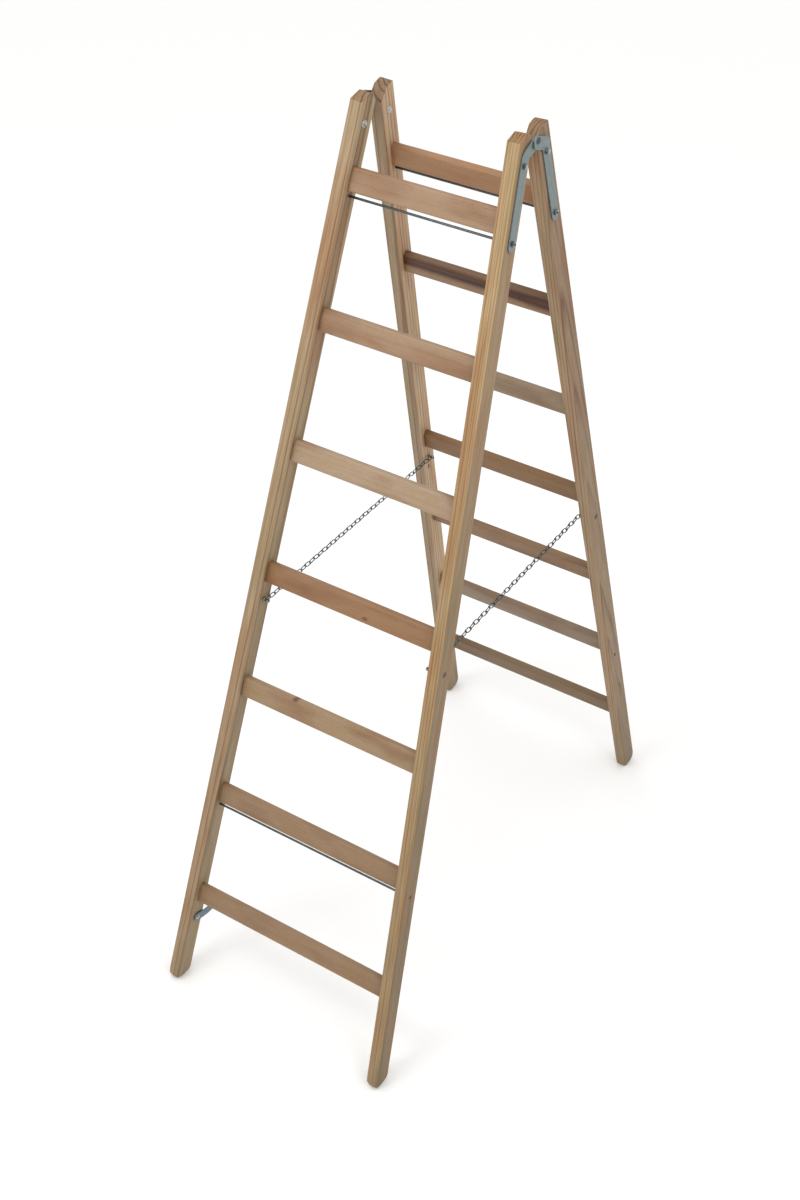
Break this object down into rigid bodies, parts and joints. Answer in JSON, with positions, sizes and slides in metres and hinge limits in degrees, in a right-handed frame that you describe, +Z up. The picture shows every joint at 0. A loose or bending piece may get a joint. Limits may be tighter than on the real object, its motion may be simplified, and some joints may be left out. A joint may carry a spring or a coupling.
{
  "type": "wooden stepladder",
  "caption": "Double-sided wooden A-frame stepladder: tapering sections with flat rungs, hinged by steel straps at the top and held open by side chains, with a transport hook.",
  "frame": {"origin": "on the floor, in the middle of the four feet, with the ladder open", "axes": "+Z up, +X along the rungs to the right as seen from the front section, +Y towards the rear section"},
  "size_m": [0.5928, 1.3008, 2.003],
  "materials": {
    "pine": "planed and lightly oiled",
    "beech": "planed, rounded edges",
    "zinc_plated_steel": "bright zinc plating"
  },
  "bodies": {
    "front_section": {"front_chain_bolts": "zinc_plated_steel", "front_chain_nuts": "zinc_plated_steel", "front_chain_washers": "zinc_plated_steel", "front_hinge_bolts": "zinc_plated_steel", "front_hinge_nuts": "zinc_plated_steel", "front_left_hinge_strap": "zinc_plated_steel", "front_left_stile": "pine", "front_lower_tie_rod": "zinc_plated_steel", "front_right_hinge_strap": "zinc_plated_steel", "front_right_stile": "pine", "front_rung_1": "beech", "front_rung_2": "beech", "front_rung_3": "beech", "front_rung_4": "beech", "front_rung_5": "beech", "front_rung_6": "beech", "front_rung_7": "beech", "front_tie_rod_nuts": "zinc_plated_steel", "front_upper_tie_rod": "zinc_plated_steel", "hinge_rivets": "zinc_plated_steel", "hook_screw": "zinc_plated_steel", "hook_washer": "zinc_plated_steel"},
    "rear_section": {"catch_screw": "zinc_plated_steel", "rear_chain_bolts": "zinc_plated_steel", "rear_chain_nuts": "zinc_plated_steel", "rear_chain_washers": "zinc_plated_steel", "rear_hinge_bolts": "zinc_plated_steel", "rear_hinge_nuts": "zinc_plated_steel", "rear_left_hinge_strap": "zinc_plated_steel", "rear_left_stile": "pine", "rear_lower_tie_rod": "zinc_plated_steel", "rear_right_hinge_strap": "zinc_plated_steel", "rear_right_stile": "pine", "rear_rung_1": "beech", "rear_rung_2": "beech", "rear_rung_3": "beech", "rear_rung_4": "beech", "rear_rung_5": "beech", "rear_rung_6": "beech", "rear_rung_7": "beech", "rear_tie_rod_nuts": "zinc_plated_steel", "rear_upper_tie_rod": "zinc_plated_steel"},
    "left_chain_front": {"left_chain_front_half": "zinc_plated_steel"},
    "left_chain_rear": {"left_chain_rear_half": "zinc_plated_steel"},
    "right_chain_front": {"right_chain_front_half": "zinc_plated_steel"},
    "right_chain_rear": {"right_chain_rear_half": "zinc_plated_steel"},
    "transport_hook": {"transport_hook": "zinc_plated_steel"}
  },
  "joints": [
    {"name": "fold", "type": "hinge", "parent": "front_section", "child": "rear_section", "pos_m": [0, 0, 1.98272], "axis": [-1, 0, 0], "range_deg": [0, 33.6]},
    {"name": "hook_swing", "type": "hinge", "parent": "front_section", "child": "transport_hook", "pos_m": [-0.25851, -0.57918, 0.17078], "axis": [0.9985, -0.0159, -0.0528], "range_deg": [-70, 12.6]},
    {"name": "right_chain_front_drop", "type": "hinge", "parent": "front_section", "child": "right_chain_front", "pos_m": [0.20467, -0.33506, 0.97934], "axis": [-0.9877, -0.0875, 0.1297], "range_deg": [0, 101]},
    {"name": "right_chain_rear_drop", "type": "hinge", "parent": "rear_section", "child": "right_chain_rear", "pos_m": [0.20467, 0.33506, 0.97934], "axis": [0.9877, 0.0875, 0.1297], "range_deg": [0, 101]},
    {"name": "left_chain_front_drop", "type": "hinge", "parent": "front_section", "child": "left_chain_front", "pos_m": [-0.20467, -0.33506, 0.97934], "axis": [-0.9877, 0.0875, -0.1297], "range_deg": [0, 101]},
    {"name": "left_chain_rear_drop", "type": "hinge", "parent": "rear_section", "child": "left_chain_rear", "pos_m": [-0.20467, 0.33506, 0.97934], "axis": [0.9877, -0.0875, -0.1297], "range_deg": [0, 101]}
  ],
  "couplings": [
    {"joint": "right_chain_front_drop", "follows": "fold", "ratio": 3},
    {"joint": "right_chain_rear_drop", "follows": "fold", "ratio": 3},
    {"joint": "left_chain_front_drop", "follows": "fold", "ratio": 3},
    {"joint": "left_chain_rear_drop", "follows": "fold", "ratio": 3}
  ]
}
